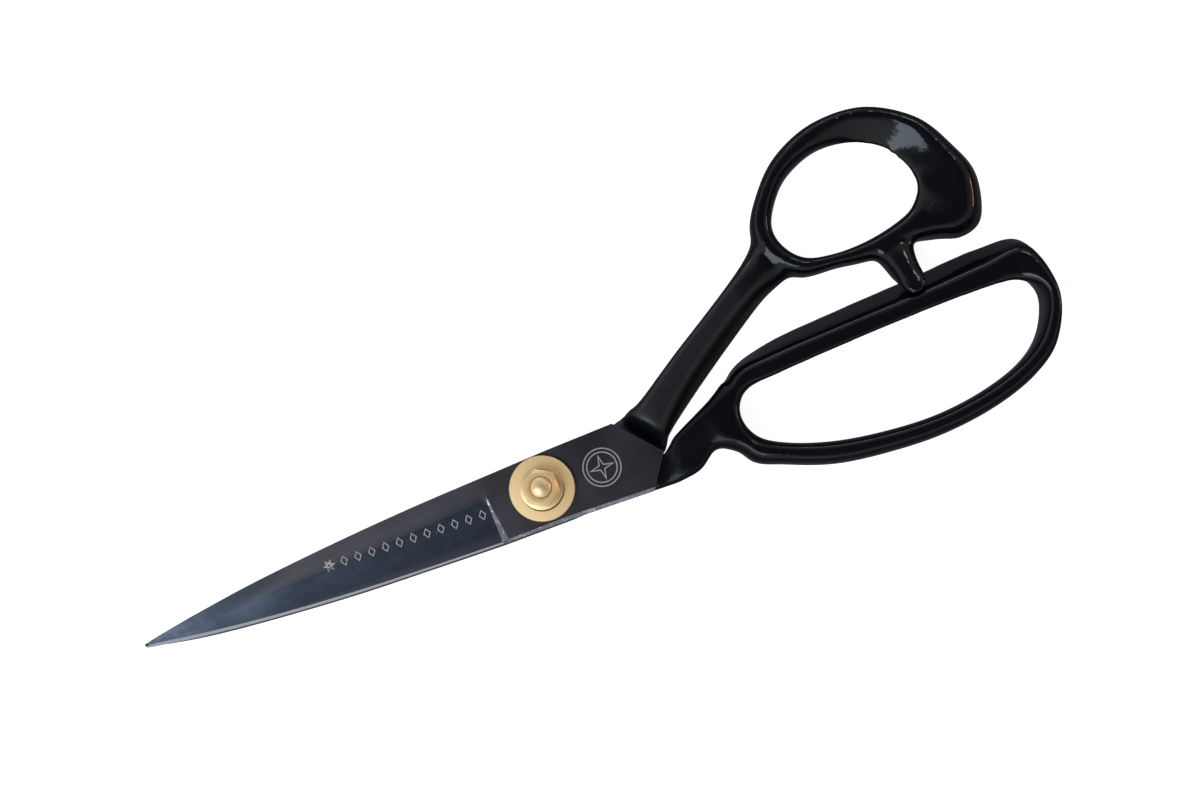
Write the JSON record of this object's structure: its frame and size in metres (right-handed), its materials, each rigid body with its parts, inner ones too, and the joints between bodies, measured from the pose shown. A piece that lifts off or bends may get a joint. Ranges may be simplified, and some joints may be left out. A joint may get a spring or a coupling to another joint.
{
  "type": "fabric shears",
  "caption": "Bent tailor's shears: long ground blades crossed on an adjustable brass pivot, with a wide closed finger bow, a flared thumb bow and a stop.",
  "frame": {"origin": "on the pivot's axis, at the flat underside of the bolt's head, which with the backs of the bows is what the closed shears lie on", "axes": "+X from the pivot to the bows along the blades, +Y to the thumb bow, +Z along the pivot to the nut"},
  "size_m": [0.2296, 0.0803, 0.017],
  "materials": {
    "blade_steel": "black oxide, ground, with a bright sharpened bevel",
    "black_enamel": "gloss",
    "brass": "turned",
    "nylon": "satin"
  },
  "bodies": {
    "finger_half": {"front_blade": "blade_steel", "finger_bow": "black_enamel"},
    "thumb_half": {"rear_blade": "blade_steel", "thumb_bow": "black_enamel", "pivot_bolt": "brass", "friction_washer": "nylon", "disc_washer": "brass", "collar_washer": "brass"},
    "nut": {"tension_nut": "brass"}
  },
  "joints": [
    {"name": "blade_pivot", "type": "hinge", "parent": "finger_half", "child": "thumb_half", "pos_m": [0, 0, 0], "axis": [0, 0, 1], "range_deg": [0, 130]},
    {"name": "nut_turn", "type": "hinge", "parent": "thumb_half", "child": "nut", "pos_m": [0, 0, 0.0142], "axis": [0, 0, 1], "range_deg": [-30, 90]}
  ]
}
